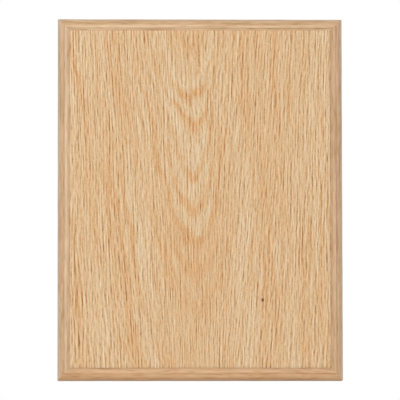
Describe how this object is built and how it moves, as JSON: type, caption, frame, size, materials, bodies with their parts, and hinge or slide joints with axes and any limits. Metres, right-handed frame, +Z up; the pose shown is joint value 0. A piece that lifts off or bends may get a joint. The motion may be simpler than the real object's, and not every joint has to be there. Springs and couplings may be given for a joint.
{
  "type": "wooden plaque",
  "caption": "Upright oak plaque with a veneered field, mitred stepped edge mouldings and keyhole hangers let into its back.",
  "frame": {"origin": "where the axis of the wall screw meets the wall when the plaque hangs upright: on the centre line, at the middle of the upper keyhole slot's round end, in the plane of the four felt bumpers' faces", "axes": "+Z up the plaque's height, +X to the right of someone looking at its front, front facing -Y and back facing +Y, towards the wall"},
  "size_m": [0.2794, 0.0211, 0.3556],
  "materials": {
    "face_oak": "satin",
    "moulding_oak": "satin",
    "back_oak": "matte",
    "fibreboard": "matte",
    "beech": "matte",
    "plate_steel": "satin",
    "screw_steel": "satin",
    "felt": "matte"
  },
  "bodies": {
    "root": {"face_veneer": "face_oak", "core_board": "fibreboard", "back_veneer": "back_oak", "moulding_top": "moulding_oak", "moulding_bottom": "moulding_oak", "moulding_left": "moulding_oak", "moulding_right": "moulding_oak", "mitre_spline_top_left": "beech", "mitre_spline_top_right": "beech", "mitre_spline_bottom_left": "beech", "mitre_spline_bottom_right": "beech", "hanger_plate_top": "plate_steel", "hanger_plate_side": "plate_steel", "hanger_screw_top_1": "screw_steel", "hanger_screw_top_2": "screw_steel", "hanger_screw_side_1": "screw_steel", "hanger_screw_side_2": "screw_steel", "wall_bumper_top_left": "felt", "wall_bumper_top_right": "felt", "wall_bumper_bottom_left": "felt", "wall_bumper_bottom_right": "felt"}
  },
  "joints": []
}
